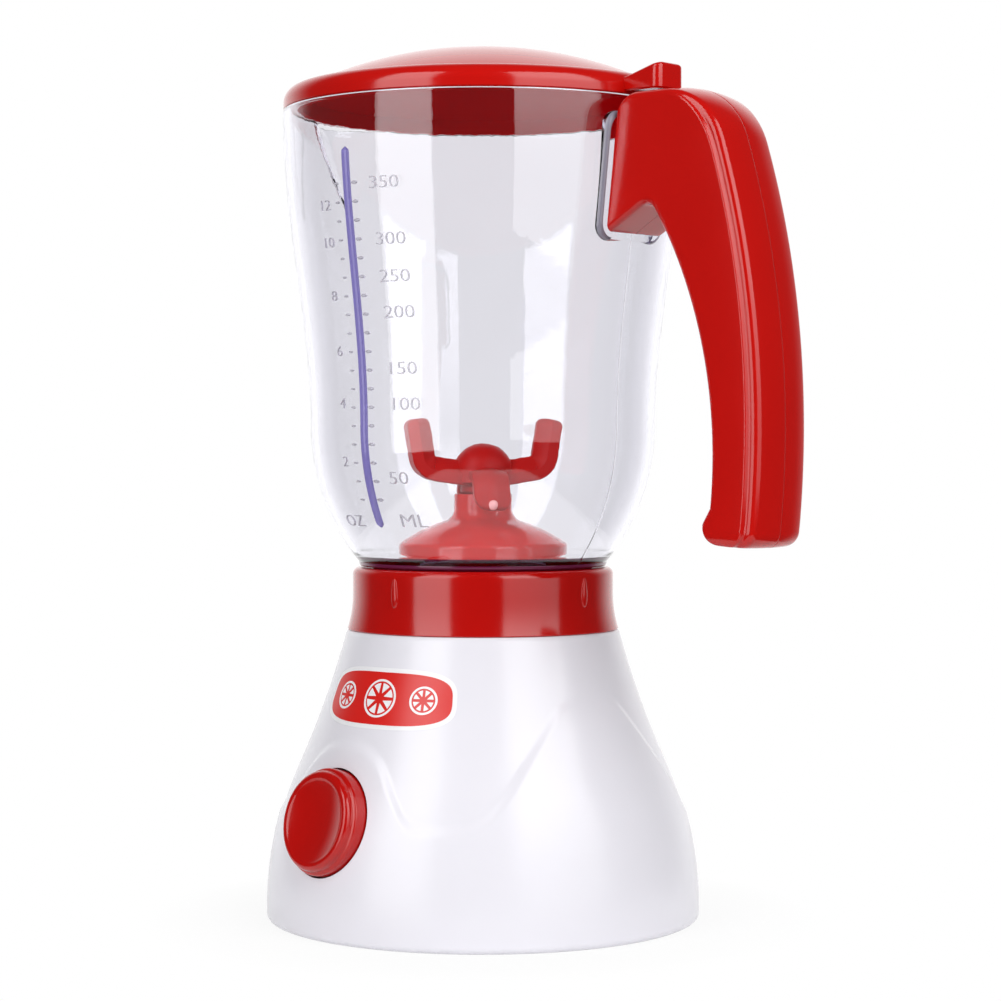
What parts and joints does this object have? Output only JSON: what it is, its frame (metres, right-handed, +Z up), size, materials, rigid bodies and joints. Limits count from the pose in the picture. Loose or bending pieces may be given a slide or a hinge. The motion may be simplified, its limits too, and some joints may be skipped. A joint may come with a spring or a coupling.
{
  "type": "toy jug blender",
  "caption": "Toy jug blender with a bell-shaped push-button base, red collar, clear lift-off jug with open handle and spout, spinning blade and lift-off lid.",
  "frame": {"origin": "centre of the standing face, on the axis of base, jug and blade", "axes": "+Z up along the axis, +X towards the handle, -X towards the spout, -Y towards the measuring rib; the button faces 5.5 degrees from -Y towards -X"},
  "size_m": [0.1496, 0.1127, 0.216],
  "materials": {
    "white_plastic": "smooth moulded, satin gloss",
    "red_plastic": "smooth moulded, high gloss",
    "clear_plastic": "clear moulded, faint violet in thick sections",
    "nylon": "natural",
    "black_plastic": "satin",
    "steel": "zinc plated",
    "brass": "turned",
    "cell": "plain sleeve over a metal can"
  },
  "bodies": {
    "base": {"base_shell": "white_plastic", "collar": "red_plastic", "collar_screws": "steel", "bottom_plate": "white_plastic", "bottom_screws": "steel", "battery_door": "white_plastic", "battery_door_screw": "steel", "battery_cells": "cell", "battery_springs": "steel", "battery_contacts": "brass", "gear_plate": "nylon", "gear_plate_screws": "steel", "motor_can": "steel", "motor_end_cap": "nylon", "motor_screws": "steel", "spindle_bush": "brass", "switch_body": "black_plastic", "lead_wires": "black_plastic"},
    "button": {"push_button": "red_plastic", "switch_plunger": "nylon"},
    "drive": {"drive_spindle": "steel", "drive_gear": "nylon", "drive_dog": "nylon"},
    "motor_rotor": {"motor_shaft": "steel", "motor_armature": "steel", "motor_pinion": "brass"},
    "jug_body": {"jug": "clear_plastic", "blade_housing": "red_plastic", "housing_ring": "nylon", "handle_front_half": "red_plastic", "handle_rear_half": "red_plastic", "handle_screws": "steel"},
    "blade_body": {"blade": "red_plastic", "blade_shaft": "steel", "driven_dog": "nylon"},
    "lid_body": {"lid": "red_plastic"}
  },
  "joints": [
    {"name": "button_press", "type": "slide", "parent": "base", "child": "button", "axis": [0.0938, 0.9736, -0.2079], "range_m": [0, 0.003], "stiffness_N_per_m": 400},
    {"name": "drive_spin", "type": "hinge", "parent": "base", "child": "drive", "pos_m": [0, 0, 0.06], "axis": [0, 0, 1], "continuous": true},
    {"name": "motor_spin", "type": "hinge", "parent": "base", "child": "motor_rotor", "pos_m": [0, 0.014, 0.06], "axis": [0, 0, 1], "continuous": true},
    {"name": "jug_lift", "type": "slide", "parent": "base", "child": "jug_body", "axis": [0, 0, 1], "range_m": [0, 0.05]},
    {"name": "blade_spin", "type": "hinge", "parent": "jug_body", "child": "blade_body", "pos_m": [0, 0, 0.11], "axis": [0, 0, 1], "continuous": true},
    {"name": "lid_lift", "type": "slide", "parent": "jug_body", "child": "lid_body", "axis": [0, 0, 1], "range_m": [0, 0.04]}
  ],
  "couplings": [
    {"joint": "motor_spin", "follows": "drive_spin", "ratio": -3},
    {"joint": "blade_spin", "follows": "drive_spin", "ratio": 1}
  ]
}
